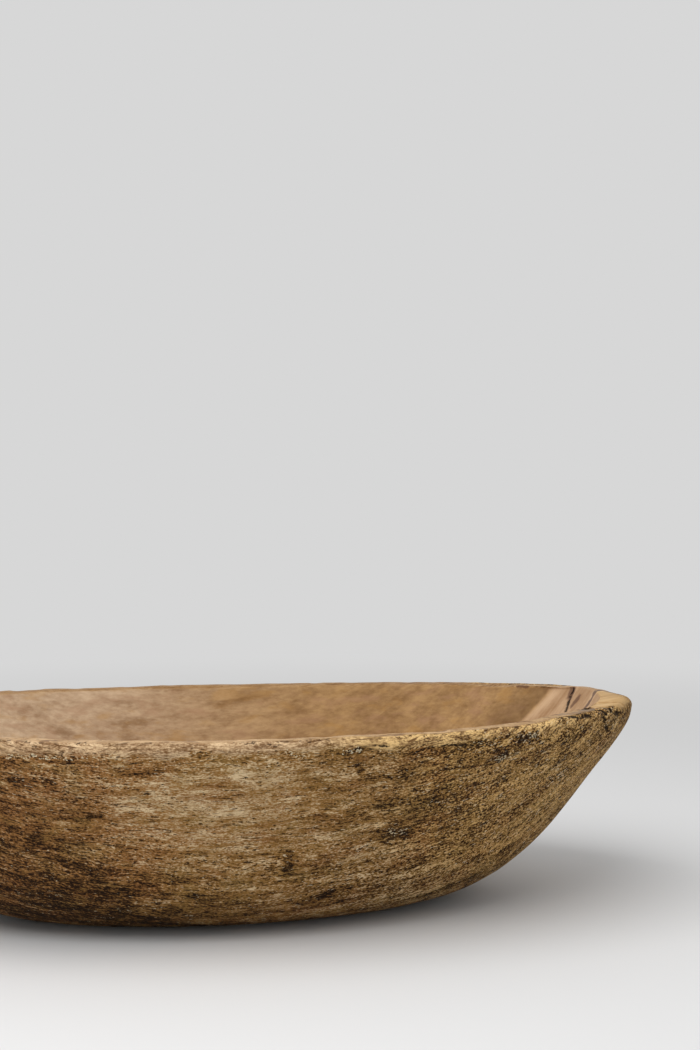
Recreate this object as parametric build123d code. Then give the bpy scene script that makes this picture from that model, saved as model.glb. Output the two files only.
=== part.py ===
from build123d import *
import os
from math import cos, radians, sin, sqrt, tan

# Oval dough bowl, carved by hand from one piece of wood.
# Frame: +X along the bowl and the grain, +Y across it, +Z up.
# The origin is on the resting face, under the middle of the bowl. Millimetres and degrees.

# Overall form
length = 484.0                   # over the two end lips
width = 264.0                    # over the two long sides
height = 111.0                   # rim at the middle of the long sides
end_rise = 4.0                   # crest of the rim near each end, above the rim at the sides

# Outside wall
end_flank_angle = 51.0           # lean of the end flanks, from the level
side_flank_angle = 64.0          # lean of the side flanks, from the level
end_turn_radius = 124.0          # radius that turns an end flank into the foot
side_turn_radius = 66.0          # radius that turns a side flank into the foot

# Hollow
end_rim = 25.0                   # width of the rim at the ends, where the hands lift it
side_rim = 13.0                  # width of the rim along the sides
floor_thickness = 20.0
hollow_end_angle = 52.0
hollow_side_angle = 66.0
hollow_end_turn_radius = 94.0
hollow_side_turn_radius = 52.0

# Rim
lip_length = 20.0                # how far an end lip rolls over, from its crest to its tip
lip_drop = 3.5                   # fall of an end lip over that length
tip_edge = 8.0                   # upright edge at the tip of an end lip
outer_corner_radius = 4.5        # worn outer corner of the rim
inner_corner_radius = 4.0        # worn inner corner of the rim
band_corner_radius = 6.0         # soft turn from the upright edge into the flank

# Lofting and cutting
wall_sections = 15               # ovals that carry each wall
cut_margin = 10.0                # how far a cutter reaches past what it cuts

# Heights that follow from these
crest_height = height + end_rise
tip_height = crest_height - lip_drop
flank_height = tip_height - tip_edge


def inset(rise, wall_height, angle, turn_radius):
    """How far a wall has come in at a rise above its own floor.

    From its top, wall_height up, the wall leans in at a straight slope. Below the point where an
    arc of the turn radius lies tangent to that slope and to the floor, it follows the arc.
    """
    lean = radians(angle)
    arc_top = turn_radius * (1 - cos(lean))
    flank_run = (wall_height - max(rise, arc_top)) / tan(lean)
    if rise >= arc_top:
        return flank_run
    return flank_run + turn_radius * sin(lean) - sqrt(turn_radius**2 - (turn_radius - rise) ** 2)


def lofted_wall(floor, wall_height, half_length, half_width, angles, turn_radii, reach=0.0):
    """A solid through ovals, from a flat floor up to its top and reach beyond it.

    The ovals lie closer together near the floor, where the wall turns fastest.
    """
    ovals = []
    for step in range(wall_sections):
        rise = (wall_height + reach) * (step / (wall_sections - 1)) ** 2
        x_radius = half_length - inset(rise, wall_height, angles[0], turn_radii[0])
        y_radius = half_width - inset(rise, wall_height, angles[1], turn_radii[1])
        ovals.append(Pos(0, 0, floor + rise) * Ellipse(x_radius, y_radius))
    return loft(ovals)


def outer_form():
    """The bowl before it is hollowed: flanks that turn into the foot, under an upright band.

    The corner between the flanks and the band is rounded.
    """
    flanks = lofted_wall(
        0.0,
        flank_height,
        length / 2,
        width / 2,
        (end_flank_angle, side_flank_angle),
        (end_turn_radius, side_turn_radius),
    )
    band = extrude(
        Pos(0, 0, flank_height) * Ellipse(length / 2, width / 2),
        crest_height + cut_margin - flank_height,
    )
    block = flanks + band
    near_corner = (flank_height - tip_edge / 2, flank_height + tip_edge / 2)
    corner = block.edges().filter_by_position(Axis.Z, *near_corner)
    return fillet(corner, min(band_corner_radius, tip_edge))


def hollow():
    """The scooped space, taken on past the rim so that it cuts clean through the top."""
    return lofted_wall(
        floor_thickness,
        height - floor_thickness,
        length / 2 - end_rim,
        width / 2 - side_rim,
        (hollow_end_angle, hollow_side_angle),
        (hollow_end_turn_radius, hollow_side_turn_radius),
        reach=end_rise + cut_margin,
    )


def above_rim():
    """All that lies above the rim line.

    Seen from the side the line sags from a crest near each end to the middle of the bowl, and
    beyond each crest it rolls over and down to the tip of the end lip.
    """
    crest = Vector(length / 2 - lip_length, crest_height)
    tip = Vector(length / 2, tip_height)
    outside = length / 2 + cut_margin
    ceiling = crest_height + cut_margin
    sag = ThreePointArc((-crest.X, crest.Y), (0, height), crest)
    lip = TangentArc(crest, tip, tangent=sag % 1)
    frame = Polyline(
        tip,
        (outside, tip.Y),
        (outside, ceiling),
        (-outside, ceiling),
        (-outside, tip.Y),
        (-tip.X, tip.Y),
    )
    side_view = make_face([sag, lip, frame, mirror(lip, about=Plane.YZ)])
    return extrude(Plane.XZ * side_view, width / 2 + cut_margin, both=True)


def carved_bowl():
    """The hollowed bowl, with its rim line cut and the rim's two corners worn round."""
    block, waste, scoop = outer_form(), above_rim(), hollow()
    trimmed = block - waste
    outer_corner = new_edges(block, waste, combined=trimmed)
    rounded = fillet(outer_corner, min(outer_corner_radius, side_rim / 2, tip_edge / 2))
    hollowed = rounded - scoop
    inner_corner = new_edges(rounded, scoop, combined=hollowed)
    return fillet(inner_corner, min(inner_corner_radius, side_rim / 3))


bowl = carved_bowl()
bowl.label = "carved_bowl"
os.makedirs("parts", exist_ok=True)
export_step(bowl, "parts/carved_bowl.step")
print(f"carved_bowl {bowl.bounding_box().size} volume {bowl.volume / 1000:.0f} cm3")
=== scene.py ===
# %% [markdown]
# # A carved dough bowl
# The bowl is one piece of hardwood: a split log, hewn to a boat-like oval outside and scooped out
# inside. There is nothing to take apart, so all the work goes into one surface. The lesson loads
# the plain solid as a frame, wraps it in a surface that looks cut by hand and worn by years of use,
# gives that surface a weathered wood material, and lights it softly from above.

# %% The frame and its size
import math

import bpy
import numpy as np
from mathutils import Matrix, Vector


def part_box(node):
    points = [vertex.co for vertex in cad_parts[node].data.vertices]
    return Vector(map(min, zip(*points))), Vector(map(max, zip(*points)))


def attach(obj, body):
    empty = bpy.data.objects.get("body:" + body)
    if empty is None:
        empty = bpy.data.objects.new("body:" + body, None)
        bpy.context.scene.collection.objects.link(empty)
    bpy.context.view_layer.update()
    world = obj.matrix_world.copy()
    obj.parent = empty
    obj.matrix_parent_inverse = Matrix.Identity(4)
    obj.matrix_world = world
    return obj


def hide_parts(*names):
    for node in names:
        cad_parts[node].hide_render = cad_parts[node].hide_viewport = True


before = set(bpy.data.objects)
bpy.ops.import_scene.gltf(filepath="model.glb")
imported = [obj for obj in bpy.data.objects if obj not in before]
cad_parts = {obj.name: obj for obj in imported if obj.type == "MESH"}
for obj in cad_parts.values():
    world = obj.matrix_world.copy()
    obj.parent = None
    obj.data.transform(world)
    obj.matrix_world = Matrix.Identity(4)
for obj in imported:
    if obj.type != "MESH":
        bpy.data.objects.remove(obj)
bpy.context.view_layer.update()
MM = 0.001
lowest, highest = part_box("carved_bowl")
length, width, crest = [(high - low) / MM for low, high in zip(lowest, highest)]
print(f"CAD bowl {length:.0f} x {width:.0f} x {crest:.0f} mm")

# %% [markdown]
# ## Camera
# The photograph is taken at table height, from the near long side and a little to the left of the
# bowl's middle. The camera is level, so upright edges stay upright, and a 50 mm lens on a portrait
# frame leaves the left third of the bowl outside the picture. It is set up first, because every
# later choice is judged through it.


# %% Camera at the photograph's place
def in_scene(name, data):
    """A new object with that data, linked to the scene."""
    made = bpy.data.objects.new(name, data)
    bpy.context.collection.objects.link(made)
    return made


view_turn = math.radians(11.32)      # the view points this much towards +X from square-on
view_distance = 0.840                # metres from the middle of the bowl, along the view
view_offset = 0.0711                 # metres to the right of the middle
eye_height = 0.2169                  # metres above the floor

ahead = np.array([math.sin(view_turn), math.cos(view_turn), 0.0])
to_right = np.array([math.cos(view_turn), -math.sin(view_turn), 0.0])
eye = view_offset * to_right - view_distance * ahead + np.array([0.0, 0.0, eye_height])

camera_data = bpy.data.cameras.new("camera")
camera_data.lens = 50.0
camera_data.sensor_width = 36.0
camera = in_scene("camera", camera_data)
camera.location = eye
camera.rotation_euler = (math.pi / 2, 0.0, -view_turn)
bpy.context.scene.camera = camera
print(f"camera at {np.round(eye, 3)} m, turned {math.degrees(view_turn):.1f} degrees")

# %% [markdown]
# ## Walls and rim
# A carver works the outside and the hollow as two separate ovals. Each wall leans out from a flat
# floor, through a wide round turn, to a straight flank. The rim between them is broad at the two
# ends, where the hands lift the bowl, and narrow along the sides. A lathe profile would not do,
# because the ends lean more than the sides, so each height has its own oval.

# %% Sizes of the carving, in millimetres and degrees
end_rise = 4.0                       # crest of the rim near each end, above the rim at the sides
lip_length = 20.0                    # how far an end lip rolls over, from crest to tip
lip_drop = 3.5                       # fall of an end lip over that length
band_height = 8.0                    # upright edge under the tip of an end lip
end_rim = 25.0
side_rim = 13.0
floor_thickness = 20.0
outer_corner = 4.5                   # radius of the worn outer corner of the rim
inner_corner = 4.0
outside_end = (51.0, 124.0)          # lean from the level, and radius of the turn into the floor
outside_side = (64.0, 66.0)
hollow_end = (52.0, 94.0)
hollow_side = (66.0, 52.0)

side_height = crest - end_rise
crest_x = length / 2 - lip_length
flank_height = crest - lip_drop - band_height
hollow_depth = side_height - floor_thickness
print(f"rim {side_height:.1f} mm high at the sides and {crest:.1f} mm near the ends")


# %% Curves that the walls and the rim follow
def ease(value, start, end):
    """0 before start, 1 after end, and the S-curve 3t^2 - 2t^3 between them."""
    t = np.clip((value - start) / (end - start), 0.0, 1.0)
    return t * t * (3.0 - 2.0 * t)


def wall_inset(rise, wall_height, angle, turn_radius):
    """How far a wall has come in at a rise above its floor.

    Above the turn it is the run of a straight slope. Inside the turn the run of an arc is added,
    tangent to the slope and to the floor.
    """
    lean = math.radians(angle)
    turn_top = turn_radius * (1 - math.cos(lean))
    in_turn = np.clip(rise, 0.0, turn_top)
    slope_run = (wall_height - np.maximum(rise, turn_top)) / math.tan(lean)
    arc_run = turn_radius * math.sin(lean) - np.sqrt(turn_radius**2 - (turn_radius - in_turn) ** 2)
    return slope_run + arc_run


def rim_line(x):
    """Height of the rim along the bowl.

    A parabola sags from the crest near one end to the other. Past a crest it rolls over: the same
    slope goes on, less a square that brings it down to the tip.
    """
    beyond = np.maximum(np.abs(x) - crest_x, 0.0)
    reach = np.minimum(np.abs(x), crest_x)
    slope = 2 * end_rise / crest_x
    sag = side_height + end_rise * (reach / crest_x) ** 2
    return sag + slope * beyond - (lip_drop + slope * lip_length) * (beyond / lip_length) ** 2


def even_rises(wall_height, angle, turn_radius, count):
    """Rises that step evenly along a wall's own profile, from its floor to its top."""
    rises = wall_height * np.linspace(0.0, 1.0, 400) ** 2
    runs = wall_inset(rises, wall_height, angle, turn_radius)
    steps = np.hypot(np.diff(rises), np.diff(runs))
    path = np.concatenate([[0.0], np.cumsum(steps)])
    return np.interp(np.linspace(0.0, path[-1], count), path, rises)


print(f"rim tips at {rim_line(length / 2):.1f} mm")

# %% [markdown]
# ## One grid for the whole bowl
# The surface is a sheet of rows and columns. A row is a ring round the bowl, with a point in each
# column. The first rows lie under the foot, and the next climb the outside, cross the rim, and go
# down the hollow to the middle of its floor. Each row keeps a station number from 0 to 6 that says
# which stretch it belongs to: the foot ends at 1, the flank at 2, the outer corner of the rim at 3,
# its inner corner at 4, and the hollow's wall at 5. Later steps use it to tell these stretches apart.

# %% Rows from the foot to the hollow floor
columns = 768
foot_rows, flank_rows, band_rows, corner_rows = 5, 57, 4, 7
top_rows, hollow_rows, floor_rows = 8, 32, 9
around = np.linspace(0.0, 2 * math.pi, columns, endpoint=False)
cos_u = np.cos(around)
sin_u = np.sin(around)


def stretch(half_length, half_width, rise, station):
    """One stretch of rows: half length, half width, height and station as (rows, columns) arrays."""
    parts = (half_length, half_width, rise, station)
    return np.stack([np.broadcast_to(part, (len(rise), columns)) for part in parts])


def outside_rows():
    """The flat foot as shrunken copies of its edge, then the flank at even steps up its profile."""
    rise = even_rises(flank_height, *outside_end, flank_rows)[:, None]
    half_length = length / 2 - wall_inset(rise, flank_height, *outside_end)
    half_width = width / 2 - wall_inset(rise, flank_height, *outside_side)
    share = np.linspace(0.0, 1.0, foot_rows + 2)[1:-1, None]
    foot = stretch(half_length[0] * share, half_width[0] * share, 0 * share, share)
    station = np.linspace(1.0, 2.0, flank_rows)[:, None]
    return [foot, stretch(half_length, half_width, rise + 0 * cos_u, station)]


def rim_rows():
    """The upright band, a quarter-round outer corner, the flat top, and the inner corner.

    The inner corner is an arc tangent to the top and to the leaning wall of the hollow. The top
    narrows where the rim rises, because the leaning wall of the hollow reaches further out there.
    """
    line = rim_line((length / 2 - end_rim) * cos_u)
    end_width = end_rim + wall_inset(line - floor_thickness, hollow_depth, *hollow_end)
    side_width = side_rim + wall_inset(line - floor_thickness, hollow_depth, *hollow_side)
    share = np.linspace(0.0, 1.0, band_rows + 1)[1:-1, None]
    band_top = rim_line(length / 2 * cos_u) - outer_corner
    rise = flank_height + share * (band_top - flank_height)
    band = stretch(length / 2, width / 2, rise, 2 + 0.5 * share)

    turn = np.linspace(0.0, math.pi / 2, corner_rows)[:, None]
    come_in = outer_corner * (1 - np.cos(turn))
    drop = outer_corner * (1 - np.sin(turn))
    edge = rim_line((length / 2 - come_in) * cos_u) - drop
    outer = stretch(length / 2 - come_in, width / 2 - come_in, edge, 2.5 + turn / math.pi)

    share = np.linspace(0.0, 1.0, top_rows + 2)[1:-1, None]
    bends = [math.radians(hollow_end[0]), math.radians(hollow_side[0])]
    widths = (end_width, side_width)
    starts = [wide - inner_corner * math.tan(bend / 2) for wide, bend in zip(widths, bends)]
    ins = [outer_corner + share * (start - outer_corner) for start in starts]
    level = rim_line((length / 2 - ins[0]) * cos_u)
    top = stretch(length / 2 - ins[0], width / 2 - ins[1], level, 3 + 0.5 * share)

    turns = [np.linspace(0.0, bend, corner_rows)[:, None] for bend in bends]
    ins = [start + inner_corner * np.sin(turn) for start, turn in zip(starts, turns)]
    drop = inner_corner * (1 - np.cos(turns[0] * cos_u**2 + turns[1] * sin_u**2))
    edge = rim_line((length / 2 - ins[0]) * cos_u) - drop
    inner = stretch(length / 2 - ins[0], width / 2 - ins[1], edge, 3.5 + 0.5 * turns[0] / bends[0])
    return [band, outer, top, inner]


def hollow_rows_down(start_height):
    """The wall of the hollow from the rim to its floor, then the floor drawn in to its middle.

    Every column takes the same shares of its own height: the even steps of a wall that is one high,
    leans by 60 degrees and turns on a radius of one.
    """
    share = even_rises(1.0, 60.0, 1.0, hollow_rows)[::-1][1:, None]
    rise = share * (start_height - floor_thickness)
    half_length = length / 2 - end_rim - wall_inset(rise, hollow_depth, *hollow_end)
    half_width = width / 2 - side_rim - wall_inset(rise, hollow_depth, *hollow_side)
    station = np.linspace(4.0, 5.0, hollow_rows)[1:, None]
    wall = stretch(half_length, half_width, floor_thickness + rise, station)
    share = np.linspace(1.0, 0.0, floor_rows + 2)[1:-1, None]
    level = floor_thickness + 0 * share
    floor = stretch(half_length[-1] * share, half_width[-1] * share, level, 6 - share)
    return [wall, floor]


rows = outside_rows() + rim_rows()
rows += hollow_rows_down(rows[-1][2, -1])
half_length, half_width, up, station = np.concatenate(rows, axis=1)
place = np.stack([half_length * cos_u, half_width * sin_u, up], axis=-1)
print(f"grid of {len(place)} rows and {columns} columns")

# %% Soft turn from the flank into the band
# In each round a row near the corner moves half way towards the middle of its two neighbours.
band_corner = np.flatnonzero((station[:, 0] > 1.9) & (station[:, 0] < 2.5))
soften_rounds = 14
sharp = place[band_corner].copy()
for _ in range(soften_rounds):
    middle = (place[band_corner - 1] + place[band_corner + 1]) / 2
    place[band_corner] += 0.5 * (middle - place[band_corner])
up = place[..., 2].copy()
print(f"band corner softened by up to {np.abs(place[band_corner] - sharp).max():.1f} mm")

# %% [markdown]
# ## The corners of the hollow
# A carver clears the hollow with strokes along the grain, and finishes each end with strokes across
# it. Where the two meet, the plan of the hollow has soft corners instead of a smooth oval. A corner
# is made by moving the wall out a few millimetres along the oval's own normal, most at the corner
# and less on both sides of it, and fading out towards the floor. Its angle round the oval, from the
# long axis, shrinks as the wall climbs, so the crease leans towards the end.

# %% Corners where the end slopes meet the long walls
corner_heights = (78.0, 108.0)       # millimetres, between which the crease leans
corner_angles = (24.0, 19.0)         # degrees from the long axis at those heights
corner_foot = floor_thickness + 8.0  # height where a corner starts
corner_full = side_height - 25.0     # height where it has its whole reach
corner_reach = 5.0                   # how far the wall moves out at a corner
corner_spread = math.radians(13.0)
corner_softness = math.radians(2.5)

corner_turn = np.radians(np.interp(up, corner_heights, corner_angles))
from_axis = np.arctan2(np.abs(sin_u), np.abs(cos_u))
from_corner = np.hypot(from_axis - corner_turn, corner_softness) - corner_softness
corner_push = corner_reach * np.exp(-from_corner / corner_spread)
corner_push = corner_push * ease(station, 3.3, 4.05)
corner_push = corner_push * ease(up, corner_foot, corner_full)
plan_normal = np.stack([cos_u * half_width, sin_u * half_length], axis=-1)
plan_normal /= np.linalg.norm(plan_normal, axis=-1, keepdims=True)
place[..., :2] += corner_push[..., None] * plan_normal
print(f"hollow corners moved out by up to {corner_push.max():.1f} mm")

# %% [markdown]
# ## Grain coordinates
# A log's fibres run along it, and its rings lie round the pith. A board sawn at any slant shows the
# same wood, so the pattern has to live in the log and not on the surface. Three numbers describe a
# place in the log: how far along the grain, how far round the pith, and how far out from it. Marks
# that are long in the first and the last and thin in the middle one run level along the sides and
# sweep up the ends towards the tips, as they do on the real bowl. The log's taper is drawn stronger
# than a real one, so that the marks keep their width where the bowl comes nearer to the pith.

# %% Place of each point in the log
pith_height = 132.0                  # the pith lay above the bowl, so no ring closes on it
ring_radius = 115.0                  # turns an angle round the pith into millimetres at the walls
taper = 0.45                         # share of that radius lost at the tips


def in_log(point):
    """Along the grain, round the pith at the ring radius, and out from the pith, in millimetres."""
    below = pith_height - point[..., 2]
    out = np.hypot(point[..., 1], below)
    radius = ring_radius * (1 - taper * (point[..., 0] / (length / 2)) ** 4)
    return np.stack([point[..., 0], radius * np.arctan2(point[..., 1], below), out], axis=-1)


# Large odd numbers that send neighbouring cells, and the seeds, to unlike keys.
cell_steps = (73856093, 19349663, 83492791)
seed_step = 40503
key_step = 1274126177


def random_field(point, seed):
    """Smooth random numbers from -1 to 1.

    Each corner of a grid of unit cubes gets its own number from a hash of its place, and the eight
    corners round a point are blended by the S-curve.
    """
    cell = np.floor(point).astype(np.int64)
    near = ease(point - cell, 0.0, 1.0)
    total = np.zeros(point.shape[:-1])
    for corner in np.ndindex(2, 2, 2):
        key = ((cell + corner) * cell_steps).sum(axis=-1) + seed * seed_step
        key = (key ^ (key >> 13)) * key_step & 0x7FFFFFFF
        key = (key ^ (key >> 15)) & 0xFFFF
        total += (key / 32767.5 - 1.0) * np.where(corner, near, 1.0 - near).prod(axis=-1)
    return total


log = in_log(place)
print(f"the wall lies {log[..., 2].min():.0f} to {log[..., 2].max():.0f} mm from the pith")

# %% [markdown]
# ## Hand work and wear
# The outside was hewn and then left rough: it wanders by about a millimetre, and the weather has
# opened furrows along its fibres. The hollow was scraped and then polished by use, so it only keeps
# shallow scoops. The rim is rubbed round and chipped, and its band stands a little proud over a
# ragged, undercut line. All of these are small moves along the surface's own normal.

# %% Normals of the grid
def grid_normals(point):
    """Cross product of the step to the next column and the step to the next row, made one long."""
    across = np.roll(point, -1, axis=1) - np.roll(point, 1, axis=1)
    onward = np.gradient(point, axis=0)
    normal = np.cross(across, onward)
    return normal / np.maximum(np.linalg.norm(normal, axis=-1, keepdims=True), 1e-9)


in_hollow = ease(station, 3.45, 4.0)
on_rim = ease(station, 1.90, 2.15) * (1 - ease(station, 3.6, 4.05))
off_foot = ease(up, 0.5, 9.0)
print(f"{(on_rim.max(axis=1) > 0).sum()} rows make up the rim")

# %% Moves along the normal, in millimetres
# Each field has its height, the size of its waves along each direction, and a seed.
band_depth = 4.8                     # how far down from the rim the rubbed band reaches
band_edge = rim_line(place[..., 0]) - band_depth
band_edge += 2.0 * random_field(log / (17.0, 400.0, 400.0), 3)
band_edge += 1.2 * random_field(log / (6.0, 400.0, 400.0), 4)
over_band = ease(up - band_edge, -2.4, 1.4)
under_band = ease(up - band_edge, -9.0, -1.5) * (1 - over_band)
proud = 0.55 + 0.45 * random_field(place / 42.0, 5)

hewn = 0.85 * random_field(place / 78.0, 11) + 0.45 * random_field(log / (58.0, 24.0, 58.0), 12)
furrows = 0.34 * random_field(log / (34.0, 6.5, 34.0), 13)
furrows -= 0.30 * np.abs(random_field(log / (20.0, 5.0, 20.0), 14))
scoops = 0.45 * np.abs(random_field(log / (52.0, 27.0, 60.0), 15))
scoops += 0.5 * random_field(place / 70.0, 16)
chips = 0.5 * ease(random_field(place / (12.0, 12.0, 30.0), 17), 0.30, 0.75)
rub = 0.4 * random_field(place / 26.0, 18) + 0.22 * random_field(place / 7.0, 19)

rough_side = (hewn + furrows) * off_foot * (1 - in_hollow) * (1 - 0.6 * on_rim)
band_face = over_band * (1 - ease(station, 2.5, 2.9))
step_at_band = proud * (0.5 * band_face - 0.4 * under_band) * (station < 3.0)
rim_wear = on_rim * (rub - chips)
moved = rough_side + step_at_band + rim_wear + scoops * in_hollow
print(f"moves from {moved.min():.2f} to {moved.max():.2f} mm")

# %% [markdown]
# ## Splits, pits and dents
# Wood dries fastest at the ends, so that is where it has split. The largest check climbs the right
# end slope, and ragged ones follow the near corner of the right lip, where the fibres have turned
# silver. The outside has a knot hole, undercuts below the band, and bruises with crumbling edges.
# Each mark is a short line on the bowl with a reach and a depth, so one formula covers them all, and
# the wood material uses the same lines for their colour. Marks that are only coloured have no depth.

# %% Splits and bruises as short lines on the bowl, in millimetres
# Each has its start, its end, a reach to either side, and a depth.
splits = {
    "right_check": ((209.4, 13.2, 102.9), (213.5, 19.6, 110.5), 1.9, 1.0),
    "knot_core": ((214.9, 20.8, 112.8), (217.0, 21.2, 114.6), 1.2, 0.5),
    "right_rim_split": ((174.1, -86.4, 113.5), (183.3, -84.2, 112.9), 1.6, 0.6),
    "right_rim_split_end": ((183.3, -84.2, 112.9), (190.5, -79.6, 113.0), 1.6, 0.7),
    "right_lip_split": ((194.2, -63.3, 114.1), (199.9, -56.3, 114.2), 2.4, 1.2),
    "right_lip_split_end": ((199.9, -56.3, 114.2), (206.3, -59.3, 114.5), 2.2, 1.2),
    "right_low_split": ((197.0, -68.5, 113.9), (204.4, -70.0, 112.2), 1.5, 1.2),
    "right_tip_split": ((206.3, -59.3, 114.5), (208.8, -65.7, 112.8), 1.9, 1.3),
    "right_tip_split_end": ((208.8, -65.7, 112.8), (215.4, -60.1, 110.2), 1.5, 1.0),
    "tip_pit": ((201.4, -73.2, 110.5), (202.5, -72.5, 107.5), 1.4, 1.0),
    "low_tip_pit": ((204.9, -70.2, 104.8), (206.0, -68.5, 101.5), 1.6, 1.0),
    "knot_hole": ((-79.0, -109.0, 73.2), (-75.5, -109.3, 72.8), 1.7, 1.6),
    "left_undercut": ((57.0, -128.1, 107.6), (66.0, -127.0, 106.8), 0.6, 0.4),
    "middle_undercut": ((88.0, -122.8, 104.8), (99.0, -120.4, 104.6), 0.7, 0.5),
    "right_undercut": ((99.0, -120.4, 104.4), (117.0, -114.9, 103.2), 0.8, 0.5),
    "left_check": ((-207.0, -12.0, 99.0), (-217.0, -24.0, 115.0), 1.1, 0.8),
    "left_rim_split": ((-190.0, 70.0, 113.5), (-203.0, 60.0, 114.4), 1.0, 0.8),
    "left_lip_split": ((-203.0, 60.0, 114.4), (-216.0, 58.0, 111.5), 1.2, 0.9),
}
bruises = {
    "rim_bruise": ((-30.7, -130.9, 105.6), (-23.0, -131.4, 105.4), 2.0, 0.4),
    "near_clump": ((142.0, -107.0, 106.5), (151.0, -103.0, 105.0), 3.6, 0.6),
    "low_clump": ((125.5, -106.4, 93.2), (132.0, -105.0, 96.5), 3.2, 0.5),
    "side_pit": ((51.9, -125.8, 98.2), (52.4, -123.6, 93.9), 2.0, 0.6),
    "middle_bruise": ((70.0, -101.0, 54.5), (81.0, -100.4, 59.0), 3.4, 0.4),
    "foot_bruise": ((18.7, -105.0, 50.0), (19.8, -100.0, 40.0), 3.0, 0.3),
    "low_streak": ((38.0, -87.5, 22.5), (45.6, -89.3, 25.8), 2.4, 0.3),
    "low_pit": ((64.8, -92.0, 35.4), (68.1, -91.6, 36.2), 1.8, 0.4),
    "left_crackle": ((-118.0, -109.5, 94.0), (-111.0, -111.5, 94.0), 1.3, 0.3),
    "left_crackle_end": ((-100.0, -113.8, 93.8), (-92.0, -115.8, 93.6), 1.3, 0.3),
    "far_bruise": ((-58.0, 120.0, 84.0), (-50.0, 121.0, 84.5), 3.2, 0.5),
    "left_clump": ((-152.0, 96.0, 97.0), (-143.0, 99.0, 97.5), 3.6, 0.6),
}
print(f"{len(splits)} splits and {len(bruises)} bruises placed")

# %% Crusts, silvered fibres and stains
crusts = {
    "left_crust": ((-119.0, -115.0, 104.9), (-97.0, -121.0, 105.1), 1.6),
    "left_crust_end": ((-97.0, -121.0, 105.1), (-78.0, -125.0, 105.1), 1.3),
    "middle_crust": ((13.0, -131.8, 105.3), (24.0, -130.9, 103.4), 2.2),
    "band_crust": ((44.0, -129.7, 104.6), (51.0, -129.0, 106.2), 2.2),
    "clump_crust": ((148.0, -104.3, 106.5), (154.0, -101.6, 105.6), 2.8),
    "low_clump_crust": ((130.0, -105.8, 96.6), (136.0, -103.6, 96.2), 2.6),
    "middle_bruise_crust": ((56.5, -101.1, 49.8), (60.5, -101.2, 51.6), 2.2),
    "upper_bruise_crust": ((72.0, -102.2, 59.5), (75.0, -101.6, 58.0), 2.0),
    "tip_crust": ((204.5, -70.5, 107.0), (206.5, -69.0, 105.0), 1.5),
    "far_crust": ((60.0, 128.0, 105.0), (92.0, 122.0, 105.0), 1.8),
}
silvered = {
    "right_rim_silver": ((175.1, -80.5, 113.5), (186.3, -76.2, 113.8), 4.6),
    "right_mid_silver": ((186.3, -76.2, 113.8), (199.7, -60.5, 114.2), 4.6),
    "right_lip_silver": ((199.7, -62.5, 114.2), (203.7, -65.0, 114.2), 3.4),
    "right_far_silver": ((225.0, -5.0, 115.0), (231.0, -34.0, 114.0), 4.0),
    "left_rim_silver": ((-186.0, 72.0, 113.6), (-206.0, 58.0, 114.4), 4.0),
}
stains = {
    "knot": ((213.9, 20.0, 111.0), (218.5, 22.5, 114.8), 3.4),
    "knot_tail": ((217.2, 9.2, 112.3), (212.8, 10.1, 106.5), 2.2),
    "knot_at_rim": ((219.5, 23.0, 115.0), (222.0, 22.5, 115.0), 1.5),
    "far_spot": ((193.0, 58.5, 114.0), (198.5, 54.0, 114.2), 1.4),
    "left_knot": ((-212.0, 20.0, 108.0), (-216.0, 22.0, 113.0), 3.5),
}
print(f"{len(crusts)} crusts, {len(silvered)} silvered places and {len(stains)} stains placed")

# %% Lines and dips of the rim
lip_lines = {
    "right_lip_foot": ((214.6, -9.4, 108.8), (215.9, -10.4, 110.8), 1.3),
    "right_lip_side": ((215.9, -10.4, 110.8), (218.6, -10.3, 114.1), 1.3),
    "right_lip_far": ((218.6, -10.3, 114.1), (226.0, -6.0, 115.0), 2.0),
    "right_lip_edge": ((226.0, -6.0, 115.0), (231.5, -24.0, 114.2), 1.8),
    "left_lip_foot": ((-212.5, 10.0, 106.5), (-215.5, 24.0, 114.0), 1.2),
    "left_lip_far": ((-215.5, 24.0, 114.0), (-231.0, 24.0, 114.6), 1.3),
}
growth_lines = {
    "right_growth": ((210.2, -44.3, 114.6), (222.0, -52.0, 114.0), 2.4),
    "right_far_growth": ((211.5, -28.0, 115.0), (227.0, -40.0, 113.6), 2.4),
    "left_growth": ((-210.2, 44.3, 114.6), (-222.0, 52.0, 114.0), 1.6),
    "left_far_growth": ((-211.5, 28.0, 115.0), (-227.0, 40.0, 113.6), 1.6),
}
# Dips lower the rim straight down, and a depth below nothing is a swell.
dips = {
    "far_rim_dip": ((168.0, 84.0, 114.0), (190.0, 66.0, 115.0), 5.0, 1.1),
    "near_rim_dip": ((70.0, -121.0, 111.5), (150.0, -98.0, 113.3), 12.0, 1.1),
    "right_lip_swell": ((220.0, 12.0, 115.0), (227.0, -36.0, 115.0), 15.0, -2.6),
    "left_lip_swell": ((-219.0, -6.0, 115.0), (-223.0, 22.0, 115.0), 14.0, -1.2),
}
print(f"{len(lip_lines)} lip lines, {len(growth_lines)} growth lines and {len(dips)} dips placed")


# %% Marks cut into the surface
def from_line(point, start, end):
    """Distance of each point from the nearest place on a short straight line."""
    along = end - start
    share = np.clip(((point - start) @ along) / (along @ along), 0.0, 1.0)
    return np.linalg.norm(point - start - share[..., None] * along, axis=-1)


def on_surface(point):
    """The point of the worn surface that is nearest to a place."""
    gap = np.linalg.norm(worn - point, axis=-1)
    return worn[np.unravel_index(gap.argmin(), gap.shape)]


def snapped(marks):
    """The same marks, with both ends of each line on the bowl."""
    return {name: (on_surface(start), on_surface(end), *sizes)
            for name, (start, end, *sizes) in marks.items()}


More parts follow.
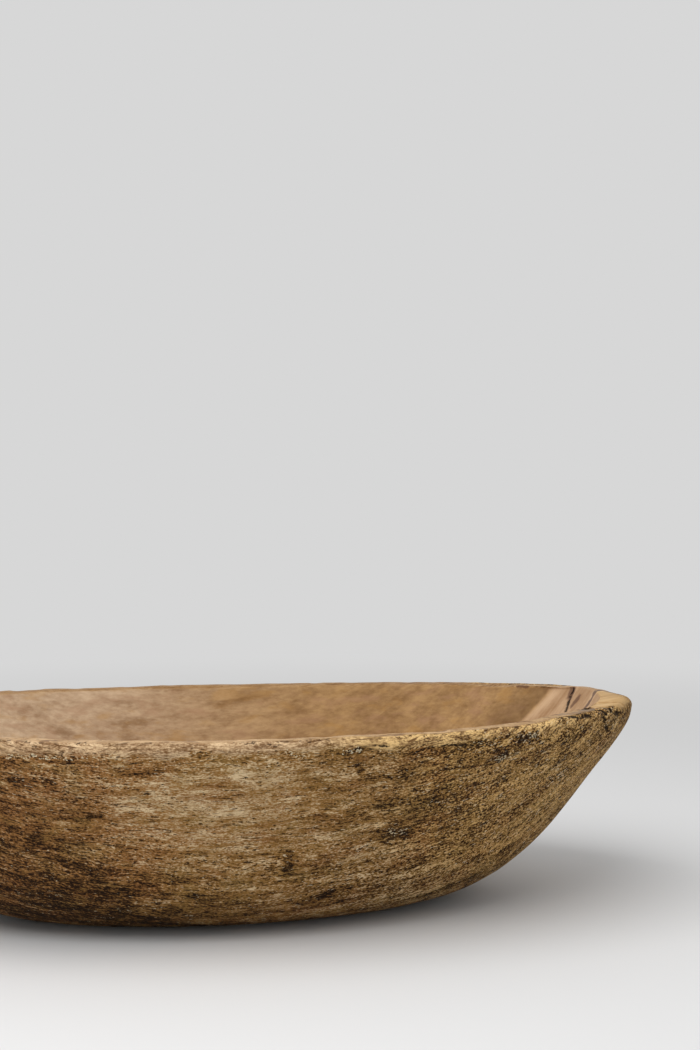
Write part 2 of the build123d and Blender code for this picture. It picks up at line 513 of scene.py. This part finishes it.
def depth_of(marks):
    """Depth of several marks added up, each falling as exp(-d^2) with distance in reaches."""
    total = np.zeros(place.shape[:2])
    for start, end, reach, depth in marks.values():
        total += depth * np.exp(-((from_line(worn, start, end) / reach) ** 2))
    return total


worn = place + moved[..., None] * grid_normals(place)
worn[..., 2] -= depth_of(snapped(dips))
marks = [splits, bruises, crusts, silvered, stains, lip_lines, growth_lines]
marks = [snapped(group) for group in marks]
splits, bruises, crusts, silvered, stains, lip_lines, growth_lines = marks
cut = depth_of(splits | bruises)
surface = worn - cut[..., None] * grid_normals(place)
surface[..., 2] = np.maximum(surface[..., 2], 0.0)
print(f"splits and bruises cut, up to {cut.max():.1f} mm deep")

# %% [markdown]
# ## Broad colour zones
# Handling, light and dirt have coloured the bowl in broad zones: a pale patch where the near side
# bulges, red-brown wood to its left, and a foot that is darker, partly with grime from damp tables
# and partly with painted shade near the floor. A painter would block these in first. Each patch is
# a soft ball of colour, and slow random fields break them up.
# They are stored on the mesh as attributes, so the material can read them on every side.

# %% Tone of the outside
# Each patch has its centre, its reach along the three axes, and its strength, below 0 for a dark one.
tone_patches = [
    ((-18.0, -118.0, 76.0), (52.0, 40.0, 26.0), 1.0),
    ((22.0, -108.0, 40.0), (60.0, 40.0, 18.0), 0.58),
    ((-30.0, -128.0, 98.0), (70.0, 30.0, 12.0), 0.35),
    ((120.0, -85.0, 38.0), (45.0, 40.0, 18.0), 0.35),
    ((-27.0, -123.0, 89.0), (34.0, 40.0, 9.0), 0.55),
    ((-57.0, -111.0, 69.0), (20.0, 40.0, 12.0), 0.45),
    ((30.0, -122.0, 86.0), (12.0, 40.0, 9.0), 0.5),
    ((48.0, -78.0, 13.0), (60.0, 40.0, 8.0), 0.6),
    ((194.0, -62.0, 86.0), (16.0, 30.0, 18.0), 0.6),
    ((60.0, 118.0, 70.0), (70.0, 40.0, 30.0), 0.6),
    ((-150.0, 85.0, 60.0), (50.0, 40.0, 26.0), 0.4),
    ((-105.0, -96.0, 58.0), (38.0, 40.0, 34.0), -0.45),
    ((-110.0, -112.0, 94.0), (34.0, 40.0, 9.0), -0.4),
    # Darkest low on the left near the foot: partly grime, partly painted shade.
    ((-96.0, -78.0, 18.0), (60.0, 40.0, 20.0), -1.9),
    ((205.0, -68.0, 107.0), (16.0, 18.0, 8.0), -0.7),
    ((-120.0, -86.0, 46.0), (16.0, 40.0, 12.0), -0.6),
    ((-72.0, -98.0, 49.0), (22.0, 40.0, 9.0), -0.6),
    ((-35.0, -103.0, 47.0), (40.0, 40.0, 7.0), -0.35),
    ((3.0, -104.0, 47.0), (24.0, 40.0, 8.0), -0.6),
    ((58.0, -100.0, 48.0), (16.0, 40.0, 9.0), -0.5),
    ((142.0, -95.0, 84.0), (14.0, 30.0, 9.0), -0.4),
    ((62.0, -112.0, 66.0), (36.0, 40.0, 24.0), -0.45),
    ((118.0, -98.0, 74.0), (40.0, 40.0, 26.0), -0.35),
    ((80.0, -88.0, 36.0), (40.0, 40.0, 10.0), -0.35),
    ((-60.0, 112.0, 60.0), (60.0, 40.0, 30.0), -0.4),
    ((140.0, 90.0, 70.0), (40.0, 40.0, 30.0), -0.35),
]


def soft_ball(point, centre, reach):
    """1 at the centre, falling as exp(-d^2) with distance measured in reaches along each axis."""
    return np.exp(-((((point - centre) / reach) ** 2).sum(axis=-1)))


tone = 0.30 * random_field(place / (60.0, 40.0, 28.0), 21)
tone += 0.22 * random_field(log / (40.0, 14.0, 40.0), 22)
for centre, reach, strength in tone_patches:
    tone += strength * soft_ball(place, centre, reach)
print(f"tone {tone.min():.2f} to {tone.max():.2f}")

# %% Grime and painted shade low down, warmth and how broken the fibres are
# Coarse says how strongly light and dark fibres differ, crumbly how broken they are, and gritty how
# much fine dust sits between them. Low on the walls the fibres are less broken and differ more.
x = place[..., 0]
from_middle = np.abs(x)
low_down = ease(up, 62.0, 26.0)
near_bulge = soft_ball(place, *tone_patches[0][:2])

# Darker towards the foot: partly grime, partly painted shade near the floor.
grime_and_low_shade = 1 - ease(up + 9.0 * random_field(log / (46.0, 20.0, 46.0), 23), 4.0, 46.0)
warmth = ease(-x + 34.0 * random_field(place / 50.0, 24), 10.0, 120.0)
coarse = 1.25 + 0.75 * ease(x, 20.0, 140.0) + 0.5 * ease(x, -140.0, -210.0) - 0.25 * near_bulge
coarse += 0.2 * random_field(place / 45.0, 26)
coarse += 0.35 * ease(x, 140.0, 185.0)
coarse *= 1 - 0.4 * ease(from_middle, 212.0, 235.0)
coarse *= 1 + 0.15 * low_down
crumbly = 0.4 + 1.7 * ease(x, 30.0, 150.0) + 1.2 * ease(x, -130.0, -200.0)
crumbly *= 1 - 0.4 * low_down
gritty = 2.2 + 0.6 * ease(x, 40.0, 120.0) - 0.5 * near_bulge
print(f"coarse {coarse.min():.2f} to {coarse.max():.2f}, crumbly up to {crumbly.max():.2f}")

# %% Finishes of the rim, the hollow and the two ends
# The smooth finish of the hollow reaches over the inner half of the rim. Towards the ends it stops
# further in, but it covers one half of each end lip.
at_end = ease(from_middle, 150.0, 200.0)
ragged_station = station + 0.07 * random_field(place / 6.0, 31)
ragged_station += 0.05 * random_field(place / 2.5, 32)
past_corner = from_axis - corner_turn
in_end = 1 - ease(past_corner, -0.025, 0.025)
lip_side = place[..., 1] * np.sign(x) + 1.5 * random_field(place / 8.0, 35)
end_top = in_end * ease(ragged_station, 2.60, 2.85) * ease(lip_side, -11.0, -5.0) * at_end
smooth = np.maximum(ease(ragged_station - 0.14 * at_end, 2.88, 3.06), end_top)
band = ease(up - band_edge, -4.5, 2.0) * on_rim * (1 - smooth)
band = band * (1 - 0.5 * at_end) * (1 - 0.25 * ease(x, 70.0, 130.0))
rim_top = smooth * (1 - ease(station, 3.6, 4.05))
far_side = ease(place[..., 1] + 30.0 * random_field(place / 35.0, 33), 30.0, 90.0)
brown_rim = np.maximum(band, rim_top) * far_side

bleach = ease(x + 25.0 * random_field(place / 60.0, 25), 95.0, -130.0)
wall_height = up + 8.0 * random_field(place / (30.0, 12.0, 30.0), 34)
# Painted shade on the long wall of the hollow beside each crease, strongest near the crease and fading
# towards the floor.
crease_shade = ease(past_corner, 0.0, 0.02) * ease(past_corner, 0.30, 0.03)
crease_shade = crease_shade * ease(station, 3.8, 4.1) * ease(wall_height, 40.0, 85.0)
end_face = in_end * ease(wall_height, 32.0, 80.0) * smooth
lip = ease(from_middle, 200.0, 206.0) * ease(lip_side, -62.0, -57.0) * ease(lip_side, -5.0, -11.0)
lip = lip * ease(station, 2.55, 2.75) * (1 - ease(station, 3.75, 3.95))
print(f"{(smooth > 0.5).mean():.0%} of the points are smooth, {(lip > 0.5).mean():.1%} on a pale lip")

# %% [markdown]
# ## The mesh
# The grid becomes a closed mesh: a quad between each pair of rows and columns, with the last column
# joined to the first, and a fan of triangles at each pole. The points go in as metres in the CAD
# frame, so the object stays at the origin, unturned and unscaled.

# %% Grid to closed mesh
def closed_sheet(name, point, first_pole, last_pole):
    """A mesh of a grid that closes round its columns, with a fan to a pole past each end row."""
    row_count, column_count = point.shape[:2]
    index = np.arange(row_count * column_count).reshape(row_count, column_count)
    beside = np.roll(index, -1, axis=1)
    quads = np.stack([index[:-1], beside[:-1], beside[1:], index[1:]], axis=-1).reshape(-1, 4)
    first, last = index.size, index.size + 1
    first_fan = np.stack([np.full(column_count, first), beside[0], index[0]], axis=-1)
    last_fan = np.stack([np.full(column_count, last), index[-1], beside[-1]], axis=-1)
    corners = np.concatenate([point.reshape(-1, 3), [first_pole, last_pole]])
    faces = quads.tolist() + first_fan.tolist() + last_fan.tolist()
    mesh = bpy.data.meshes.new(name)
    mesh.from_pydata((corners * MM).tolist(), [], faces)
    mesh.shade_smooth()
    return mesh


def keep_on_mesh(mesh, name, values):
    """Stores one number, or three, for every point of the grid and its two poles."""
    flat = values.reshape(place.shape[0] * place.shape[1], -1)
    flat = np.concatenate([flat, flat[[0]], flat[[-1]]])
    kind, key = ("FLOAT", "value") if flat.shape[1] == 1 else ("FLOAT_VECTOR", "vector")
    mesh.attributes.new(name, kind, "POINT").data.foreach_set(key, flat.astype(np.float32).ravel())


floor_middle = (0.0, 0.0, surface[-1, :, 2].mean())
bowl_mesh = closed_sheet("dough_bowl", surface, (0.0, 0.0, 0.0), floor_middle)
zones = {"tone": tone, "grime_and_low_shade": grime_and_low_shade, "warmth": warmth,
         "coarse": coarse, "crumbly": crumbly, "gritty": gritty,
         "smooth": smooth, "band": band, "rim_top": rim_top, "brown_rim": brown_rim,
         "bleach": bleach, "crease_shade": crease_shade, "end_face": end_face, "lip": lip}
keep_on_mesh(bowl_mesh, "in_log", log * MM)
for name, values in zones.items():
    keep_on_mesh(bowl_mesh, name, values)
bowl = in_scene("dough_bowl", bowl_mesh)
bowl_mesh.calc_loop_triangles()
print(f"dough_bowl has {len(bowl_mesh.loop_triangles)} triangles and {len(zones)} zones")

# %% [markdown]
# ## Weathered hardwood
# The wood looks like a dense hardwood, hewn green and weathered outside, scraped and oiled by
# dough inside. Outside the eye sees short dark pores and pale raised fibres along the grain, over
# slow red-brown and tan patches. Inside it sees smooth, slightly pink wood with faint streaks. One
# material covers both, because it is one piece of wood: the zones on the mesh blend its finishes.

# %% Nodes and colours
def linear(code):
    """An sRGB hex colour as the linear RGBA that a shader socket takes."""
    parts = [int(code[i:i + 2], 16) / 255 for i in (1, 3, 5)]
    return [c / 12.92 if c <= 0.04045 else ((c + 0.055) / 1.055) ** 2.4 for c in parts] + [1.0]


def add(tree, kind, inputs, output=0, **settings):
    """Adds a node, applies its settings, and fills each input with a value or with another output.

    An input is named, or numbered where a node has several of one name. A hex colour is turned to
    linear. The output asked for is returned.
    """
    node = tree.nodes.new("ShaderNode" + kind)
    for name, value in settings.items():
        setattr(node, name, value)
    for key, value in inputs.items():
        if isinstance(value, bpy.types.NodeSocket):
            tree.links.new(value, node.inputs[key])
        else:
            node.inputs[key].default_value = linear(value) if isinstance(value, str) else value
    return node.outputs[output] if node.outputs else node


wood = bpy.data.materials.new("weathered_hardwood")
wood.use_nodes = True
tree = wood.node_tree
tree.nodes.clear()
here = {name: add(tree, "Attribute", {}, "Fac", attribute_name=name) for name in zones}
spot = add(tree, "TexCoord", {}, "Object")
print(f"material {wood.name} reads {', '.join(here)}")


# %% Patterns that follow the log
def wander(point, size, reach, detail):
    """The same place, moved about by up to half the reach, with swings of that size in millimetres."""
    noise = {"Vector": spot, "Scale": 1 / (size * MM), "Detail": detail}
    swing = add(tree, "TexNoise", noise, "Color")
    swing = add(tree, "VectorMath", {0: swing, 1: (0.5, 0.5, 0.5)}, operation="SUBTRACT")
    swing = add(tree, "VectorMath", {0: swing, "Scale": reach * MM}, operation="SCALE")
    return add(tree, "VectorMath", {0: point, 1: swing}, operation="ADD")


def marks_at(point, size, detail, roughness, seed):
    """Random marks over a place, with a size in millimetres along each of its three directions.

    The place is divided by the size, so that one mark fills about one unit, and moved by the seed.
    """
    per_mark = tuple(1 / (part * MM) for part in size)
    spread = add(tree, "Mapping", {"Vector": point, "Scale": per_mark, "Location": (seed, seed, seed)})
    noise = {"Vector": spread, "Scale": 1.0, "Detail": detail, "Roughness": roughness}
    return add(tree, "TexNoise", noise)


def fibre_noise(along, across, detail, roughness, seed):
    """Marks that are long on the grain and out from the pith, and thin round it: fibres and rays."""
    return marks_at(bent_log, (along, across, along), detail, roughness, seed)


def plain_noise(size, detail, roughness, seed=0.0):
    """Random patches along the three axes of the bowl."""
    return marks_at(spot, size, detail, roughness, seed)


def build_up(level, layers):
    """Adds layers to a level: how far each pattern is from its middle value, times its weight."""
    for pattern, middle, weight in layers:
        offset = add(tree, "Math", {0: pattern, 1: middle}, operation="SUBTRACT")
        level = add(tree, "Math", {0: offset, 1: weight, 2: level}, operation="MULTIPLY_ADD")
    return level


def lay_over(colour, layers):
    """Lays tints over a colour: none where a tint's pattern is at low, and the most of it at high."""
    for tint, pattern, low, high, most in layers:
        limits = {"Value": pattern, "From Min": low, "From Max": high, "To Max": most}
        share = add(tree, "MapRange", limits, interpolation_type="SMOOTHSTEP")
        colour = add(tree, "Mix", {0: share, 6: colour, 7: tint}, 2, data_type="RGBA")
    return colour


# Fibres are never quite straight: a slow field bends them by a millimetre or two.
straight_log = add(tree, "Attribute", {}, "Vector", attribute_name="in_log")
bent_log = wander(straight_log, 26.0, 5.0, 1.0)
ragged = wander(spot, 4.0, 4.0, 3.0)
print("log coordinates bent")


# %% Marks in the material
def near_line(start, end, reach):
    """1 on a short line of the mesh and up to 0.3 of the reach from it, falling to 0 at the reach."""
    along = (end - start) * MM
    away = add(tree, "VectorMath", {0: ragged, 1: start * MM}, operation="SUBTRACT")
    per_length = along / (along @ along)
    share = add(tree, "VectorMath", {0: away, 1: per_length}, "Value", operation="DOT_PRODUCT")
    share = add(tree, "Clamp", {"Value": share})
    foot = add(tree, "VectorMath", {0: along, "Scale": share}, operation="SCALE")
    gap = add(tree, "VectorMath", {0: away, 1: foot}, "Value", operation="DISTANCE")
    limits = {"Value": gap, "From Min": reach * MM, "From Max": 0.3 * reach * MM}
    return add(tree, "MapRange", limits, interpolation_type="SMOOTHSTEP")


def near_any(marks, widen):
    """The strongest of several marks, each widened by the same factor."""
    strongest = 0.0
    for start, end, reach, *_ in marks.values():
        mark = near_line(start, end, reach * widen)
        strongest = add(tree, "Math", {0: mark, 1: strongest}, operation="MAXIMUM")
    return strongest


in_split = near_any(splits, 1.3)
in_bruise = near_any(bruises, 1.5)
in_crust = near_any(crusts, 1.6)
in_silver = near_any(silvered, 1.5)
in_stain = near_any(stains, 1.5)
on_lip_line = near_any(lip_lines, 1.8)
on_growth = near_any(growth_lines, 1.0)
print(f"{sum(len(group) for group in marks)} marks linked")

# %% Outside: how light or dark the fibres are
# Real pores and fibres are 0.1 to 0.3 mm wide, too fine for the render, so the grit, the pores and the
# cracks are drawn about three times as coarse.
grit = fibre_noise(1.6, 0.5, 1.0, 0.6, 2.0)
specks = plain_noise((1.1, 1.1, 1.1), 1.0, 0.6, 3.0)
fibres = fibre_noise(9.0, 1.5, 3.0, 0.65, 3.0)
streaks = fibre_noise(30.0, 3.6, 3.0, 0.6, 1.0)
clusters = fibre_noise(14.0, 6.0, 2.0, 0.6, 7.0)
sweeps = fibre_noise(60.0, 8.5, 2.0, 0.55, 8.0)
patches = plain_noise((13.0, 13.0, 8.0), 3.0, 0.55, 17.0)
clumps = plain_noise((7.0, 7.0, 5.0), 1.0, 0.5, 19.0)

clump_weight = add(tree, "Math", {0: here["crumbly"], 1: 0.35}, operation="MULTIPLY")
grain = build_up(0.0, [
    (grit, 0.5, here["gritty"]), (specks, 0.5, here["crumbly"]), (fibres, 0.5, 1.6),
    (streaks, 0.5, 1.2), (clusters, 0.5, 0.8), (sweeps, 0.5, 0.9), (patches, 0.5, 0.6),
    (clumps, 0.5, clump_weight),
])
level = build_up(0.50, [
    (grain, 0.0, here["coarse"]), (here["tone"], 0.0, 0.32), (here["grime_and_low_shade"], 0.0, -0.40),
    (here["band"], 0.0, 0.14), (here["warmth"], 0.0, -0.06), (in_bruise, 0.0, -0.50),
])
hue = fibre_noise(26.0, 12.0, 3.0, 0.6, 14.0)
body = add(tree, "Mix", {0: here["warmth"], 6: "#936c3a", 7: "#97693a"}, 2, data_type="RGBA")
body = lay_over(body, [("#85532c", hue, 0.50, 0.68, 0.45), ("#957b48", hue, 0.48, 0.32, 0.35)])
worn_fibre = lay_over("#dcc39b", [("#d0aa6e", here["crumbly"], 0.4, 1.4, 1.0)])
# Low grit and fibres take the near-black end of the ramp: partly dark wood, partly painted shade in the
# low places of the relief that the bump also draws.
outside_colour = lay_over("#1f1207", [
    (body, level, -0.55, 0.60, 1.0),
    (worn_fibre, level, 0.45, 1.60, 1.0),
    ("#94703c", patches, 0.55, 0.70, 0.45),
])
print("outside tones linked")

# %% Outside: pores, open cracks and pale crumbs
# The dark pores and cracks, here and on the rim, are partly open pores of the wood and partly painted
# shade inside them.
pores = fibre_noise(4.0, 0.75, 2.0, 0.6, 4.0)
pore_groups = fibre_noise(20.0, 8.0, 3.0, 0.65, 5.0)
crumb_groups = fibre_noise(12.0, 7.0, 3.0, 0.65, 12.0)
raised = fibre_noise(3.0, 0.65, 1.0, 0.5, 6.0)
cracks = fibre_noise(7.0, 0.6, 2.0, 0.6, 20.0)

pore_level = build_up(pores, [
    (specks, 0.5, 0.32), (pore_groups, 0.5, 0.42), (here["tone"], 0.0, 0.05),
    (in_bruise, 0.0, -0.11), (here["grime_and_low_shade"], 0.0, -0.02), (here["warmth"], 0.0, -0.016),
])
crumbs = build_up(raised, [
    (specks, 0.5, 0.4), (crumb_groups, 0.5, 0.45), (here["crumbly"], 1.4, 0.045),
    (in_bruise, 0.0, 0.06), (here["grime_and_low_shade"], 0.0, 0.03),
])
crack_level = build_up(cracks, [
    (specks, 0.5, 0.25), (pore_groups, 0.5, -0.4),
    (here["warmth"], 0.0, -0.03), (here["crumbly"], 0.4, -0.012),
])
outside_colour = lay_over(outside_colour, [
    ("#e2d2b2", crumbs, 0.69, 0.75, 0.7),
    ("#231206", pore_level, 0.405, 0.340, 0.9),
    ("#1f1106", crack_level, 0.37, 0.31, 0.9),
])
print("pores, cracks and crumbs linked")

# %% Outside: the rubbed band under the rim
rim_cracks = fibre_noise(14.0, 1.2, 3.0, 0.65, 13.0)
unbleached = {"Value": here["bleach"], "From Min": 0.38, "From Max": 0.05}
golden = add(tree, "MapRange", unbleached, interpolation_type="SMOOTHSTEP")
band_level = build_up(0.5, [
    (grit, 0.5, 1.1), (fibres, 0.5, 1.3), (rim_cracks, 0.5, 1.1), (patches, 0.5, 0.8),
    (specks, 0.5, here["crumbly"]), (clumps, 0.5, here["crumbly"]), (golden, 0.0, 0.13),
])
rim_crack_level = build_up(rim_cracks, [(here["crumbly"], 0.4, -0.03)])
band_pale = lay_over("#cfb18b", [("#dab67c", golden, 0.0, 1.0, 1.0)])
band_colour = lay_over("#6a4c30", [
    (band_pale, band_level, 0.0, 1.0, 1.0),
    ("#4a2c16", rim_crack_level, 0.40, 0.34, 0.85),
    ("#2e1b0d", pore_level, 0.35, 0.31, 0.75),
])
band_share = build_up(here["band"], [(clusters, 0.5, 0.9), (fibres, 0.5, 0.9), (in_bruise, 0.0, -0.6)])
outside_colour = lay_over(outside_colour, [(band_colour, band_share, 0.25, 0.95, 0.85)])
print("band linked")

# %% Hollow: smooth wood with soft mottling
mottle = plain_noise((13.0, 7.0, 5.5), 6.0, 0.68)
lines = plain_noise((80.0, 1.4, 60.0), 3.0, 0.6)
clouds = plain_noise((60.0, 60.0, 40.0), 3.0, 0.55, 8.0)
spills = plain_noise((34.0, 15.0, 11.0), 5.0, 0.6, 11.0)
stripes = plain_noise((50.0, 9.0, 50.0), 2.0, 0.5, 5.0)
rings = marks_at(bent_log, (170.0, 70.0, 3.0), 3.0, 0.6, 15.0)
flecks = plain_noise((6.0, 3.0, 2.6), 4.0, 0.65, 16.0)
blush = plain_noise((30.0, 14.0, 10.0), 3.0, 0.6, 18.0)

hollow_level = build_up(0.5, [
    (mottle, 0.5, 1.0), (clouds, 0.5, 0.7), (lines, 0.5, 0.4), (rings, 0.5, 0.5), (flecks, 0.5, 0.8),
])
brown_wood = lay_over("#7d5c38", [("#ae8a5c", hollow_level, 0.0, 1.0, 1.0)])
pale_wood = lay_over("#997a5d", [("#cab092", hollow_level, 0.0, 1.0, 1.0)])
hollow_colour = add(tree, "Mix", {0: here["bleach"], 6: brown_wood, 7: pale_wood}, 2, data_type="RGBA")
hollow_colour = lay_over(hollow_colour, [
    ("#a07a5c", blush, 0.50, 0.68, 0.45),
    ("#a67c42", blush, 0.47, 0.32, 0.4),
    ("#6f4c28", spills, 0.50, 0.74, 0.7),
    # painted shade beside the creases of the hollow
    ("#5a3f25", here["crease_shade"], 0.0, 1.0, 0.5),
])
end_level = build_up(0.5, [(lines, 0.5, 0.5), (stripes, 0.5, 1.5), (mottle, 0.5, 0.6)])
end_colour = lay_over("#8e6b49", [("#c0a07e", end_level, 0.0, 1.0, 1.0)])
with_ends = {0: here["end_face"], 6: hollow_colour, 7: end_colour}
hollow_colour = add(tree, "Mix", with_ends, 2, data_type="RGBA")
print("hollow colours linked")

# %% Rim: rubbed top and pale end lips
top_level = build_up(0.5, [(fibres, 0.5, 1.6), (lines, 0.5, 0.6), (mottle, 0.5, 0.6)])
top_colour = lay_over("#8c6942", [
    ("#d2b084", top_level, 0.0, 1.0, 1.0),
    ("#5b3a20", pore_level, 0.40, 0.32, 0.6),
    ("#55351c", rim_crack_level, 0.41, 0.35, 0.75),
])
top_share = build_up(here["rim_top"], [(here["end_face"], 0.0, -0.6)])
browned = ("#7c5830", here["brown_rim"], 0.0, 1.0, 0.6)
smooth_colour = lay_over(hollow_colour, [(top_colour, top_share, 0.1, 0.9, 0.8), browned])
outside_colour = lay_over(outside_colour, [browned])
lip_colour = lay_over("#8d6a3c", [("#c5a374", end_level, -0.1, 0.8, 1.0)])

colour = add(tree, "Mix", {0: here["smooth"], 6: outside_colour, 7: smooth_colour}, 2, data_type="RGBA")
colour = add(tree, "Mix", {0: here["lip"], 6: colour, 7: lip_colour}, 2, data_type="RGBA")
print("rim and lip colours linked")

# %% Marks: crumbs, silvered fibres, stains and open splits
crust_level = build_up(specks, [(raised, 0.5, 0.6)])
crumbled = add(tree, "Math", {0: in_crust, 1: crust_level}, operation="MULTIPLY")
silver_fibres = fibre_noise(16.0, 1.1, 2.0, 0.6, 9.0)
silver_share = add(tree, "Math", {0: in_silver, 1: silver_fibres}, operation="MULTIPLY")
colour = lay_over(colour, [
    ("#d8cbab", crumbled, 0.54, 0.63, 0.75),
    ("#74685c", silver_share, 0.42, 0.55, 0.8),
    ("#5a463d", on_lip_line, 0.0, 0.9, 0.85),
    ("#9c7442", on_growth, 0.0, 1.0, 0.6),
    ("#543528", in_stain, 0.0, 1.0, 0.75),
    # near-black painted shade inside the splits, pits, undercuts and knot hole
    ("#160d08", in_split, 0.0, 1.0, 0.92),
])
print("marks coloured")

# %% Relief, roughness and shader
# Weathered wood is dull, and wood that hands and dough have polished has a soft sheen.
rough_relief = build_up(0.0, [(grit, 0.5, 0.9), (fibres, 0.5, 0.7), (pore_level, 0.4, 0.9)])
smooth_relief = build_up(0.0, [(mottle, 0.5, 0.25), (lines, 0.5, 0.10)])
rubbed = build_up(here["smooth"], [(here["band"], 0.0, 0.6)])
rubbed = add(tree, "Clamp", {"Value": rubbed})
relief = add(tree, "Mix", {0: rubbed, 2: rough_relief, 3: smooth_relief})
relief = build_up(relief, [(in_split, 0.0, -1.2)])
normal = add(tree, "Bump", {"Height": relief, "Strength": 1.0, "Distance": 0.8 * MM})
dullness = add(tree, "Mix", {0: here["smooth"], 2: 0.86, 3: 0.58})
shader = add(tree, "BsdfPrincipled", {
    "Base Color": colour, "Roughness": dullness, "Normal": normal,
    "IOR": 1.5, "Specular IOR Level": 0.1,
})
add(tree, "OutputMaterial", {"Surface": shader})
bowl_mesh.materials.append(wood)
print(f"{len(tree.nodes)} nodes in {wood.name}")

# %% Bowl in place of its solid
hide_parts("carved_bowl")
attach(bowl, "root")
print(f"{bowl.name} replaces carved_bowl")

# %% [markdown]
# ## Floor and backdrop
# The bowl stands on a pale sweep, a sheet that a studio would curve up behind it. A flat floor does
# as well: far from the bowl it takes the backdrop's own colour, so that no horizon shows, and near
# the bowl it is plain matt paint that catches the shadow. Only rays that show the background see
# that colour, so it adds no light to the bowl.

# %% Floor of matt paint
# In metres: half the floor's side, then how far out the backdrop's colour starts and is full.
floor_reach = 6.0
near_floor, far_floor = 0.5, 1.6
backdrop = "#d7d7d7"

floor_corners = floor_reach * np.array([(-1, -1, 0), (1, -1, 0), (1, 1, 0), (-1, 1, 0)])
floor_mesh = bpy.data.meshes.new("floor")
floor_mesh.from_pydata(floor_corners.tolist(), [], [(0, 1, 2, 3)])
floor = in_scene("floor", floor_mesh)


def shows_background(tree):
    """1 for rays that show the background: straight to the camera, mirrored, or through glass."""
    shows = 0.0
    for kind in ("Camera", "Glossy", "Transmission"):
        ray = add(tree, "LightPath", {}, f"Is {kind} Ray")
        shows = add(tree, "Math", {0: ray, 1: shows}, operation="MAXIMUM")
    return shows


paint = bpy.data.materials.new("pale_floor_paint")
paint.use_nodes = True
floor_tree = paint.node_tree
floor_tree.nodes.clear()
floor_spot = add(floor_tree, "TexCoord", {}, "Object")
away = add(floor_tree, "VectorMath", {0: floor_spot}, "Value", operation="LENGTH")
fade = {"Value": away, "From Min": near_floor, "From Max": far_floor}
far = add(floor_tree, "MapRange", fade, interpolation_type="SMOOTHSTEP")
share = add(floor_tree, "Math", {0: far, 1: shows_background(floor_tree)}, operation="MULTIPLY")
matt = add(floor_tree, "BsdfDiffuse", {"Color": "#d8d8d8"})
glow = add(floor_tree, "Emission", {"Color": backdrop, "Strength": 1.0})
painted = add(floor_tree, "MixShader", {0: share, 1: matt, 2: glow})
add(floor_tree, "OutputMaterial", {"Surface": painted})
floor_mesh.materials.append(paint)
print(f"floor {2 * floor_reach:.0f} m across")

# %% [markdown]
# ## Light
# The photograph's light is large and soft, high up in front of the bowl and to its left, and its
# shadows are filled from all round. A big area lamp and an even white world do the same. The world
# shows the backdrop's colour to the camera, and white to everything that it lights.

# %% World and softbox
sky = bpy.data.worlds.new("studio")
sky.use_nodes = True
sky_tree = sky.node_tree
sky_tree.nodes.clear()
fill = add(sky_tree, "Background", {"Color": "#ffffff", "Strength": 0.66})
shown = add(sky_tree, "Background", {"Color": backdrop, "Strength": 1.0})
walls = add(sky_tree, "MixShader", {0: shows_background(sky_tree), 1: fill, 2: shown})
add(sky_tree, "OutputWorld", {"Surface": walls})
bpy.context.scene.world = sky

softbox_data = bpy.data.lights.new("softbox", "AREA")
softbox_data.shape = "RECTANGLE"
softbox_data.size = 1.4
softbox_data.size_y = 1.2
softbox_data.energy = 16.0
softbox = in_scene("softbox", softbox_data)
softbox.location = (-0.55, -0.50, 1.15)
bowl_middle = np.array([0.0, 0.0, 0.05])
aim = bowl_middle - np.array(softbox.location)
lean_back = math.atan2(math.hypot(aim[0], aim[1]), -aim[2])
softbox.rotation_euler = (lean_back, 0.0, math.atan2(aim[1], aim[0]) - math.pi / 2)
bpy.context.scene.view_settings.view_transform = "Standard"
print(f"softbox of {softbox_data.energy:.0f} W, {np.linalg.norm(aim):.2f} m from the bowl")
